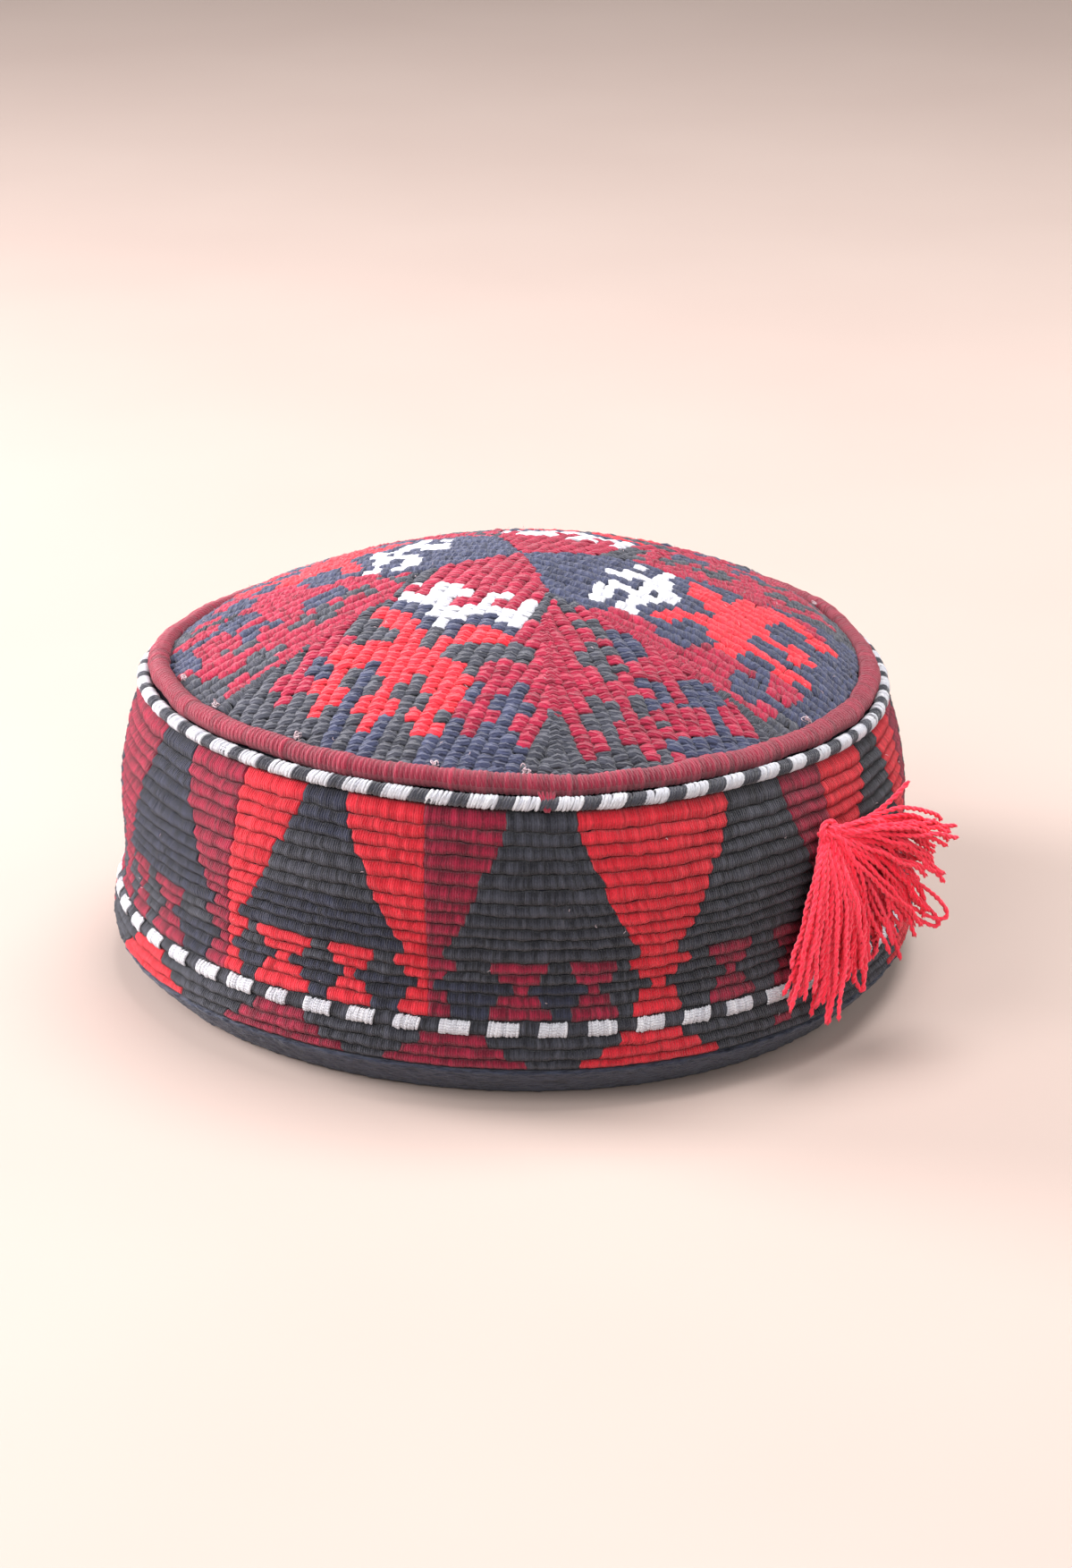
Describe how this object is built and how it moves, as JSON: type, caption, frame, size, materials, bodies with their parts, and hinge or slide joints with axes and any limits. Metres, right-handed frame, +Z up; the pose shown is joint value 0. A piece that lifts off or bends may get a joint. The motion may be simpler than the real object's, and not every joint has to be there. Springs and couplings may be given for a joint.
{
  "type": "embroidered round cap",
  "caption": "Round soft cap with a domed ribbed crown, a tall side band wound in patterned rows, cords along the top edge, a wrapped hem and a yarn tassel.",
  "frame": {"origin": "On the surface that the cap stands on, below the middle of its box, tassel included", "axes": "+Z up through the crown, -Y towards the front, +X to the side where the tassel hangs"},
  "size_m": [0.2072, 0.2064, 0.1027],
  "materials": {
    "black_yarn": "matt wool yarn",
    "maroon_yarn": "matt wool yarn",
    "red_yarn": "soft wool yarn",
    "white_yarn": "cotton thread"
  },
  "bodies": {
    "root": {"crown": "maroon_yarn", "side_band": "black_yarn", "edge_piping": "maroon_yarn", "checked_cord": "white_yarn", "hem_binding": "black_yarn", "tassel": "red_yarn"}
  },
  "joints": []
}
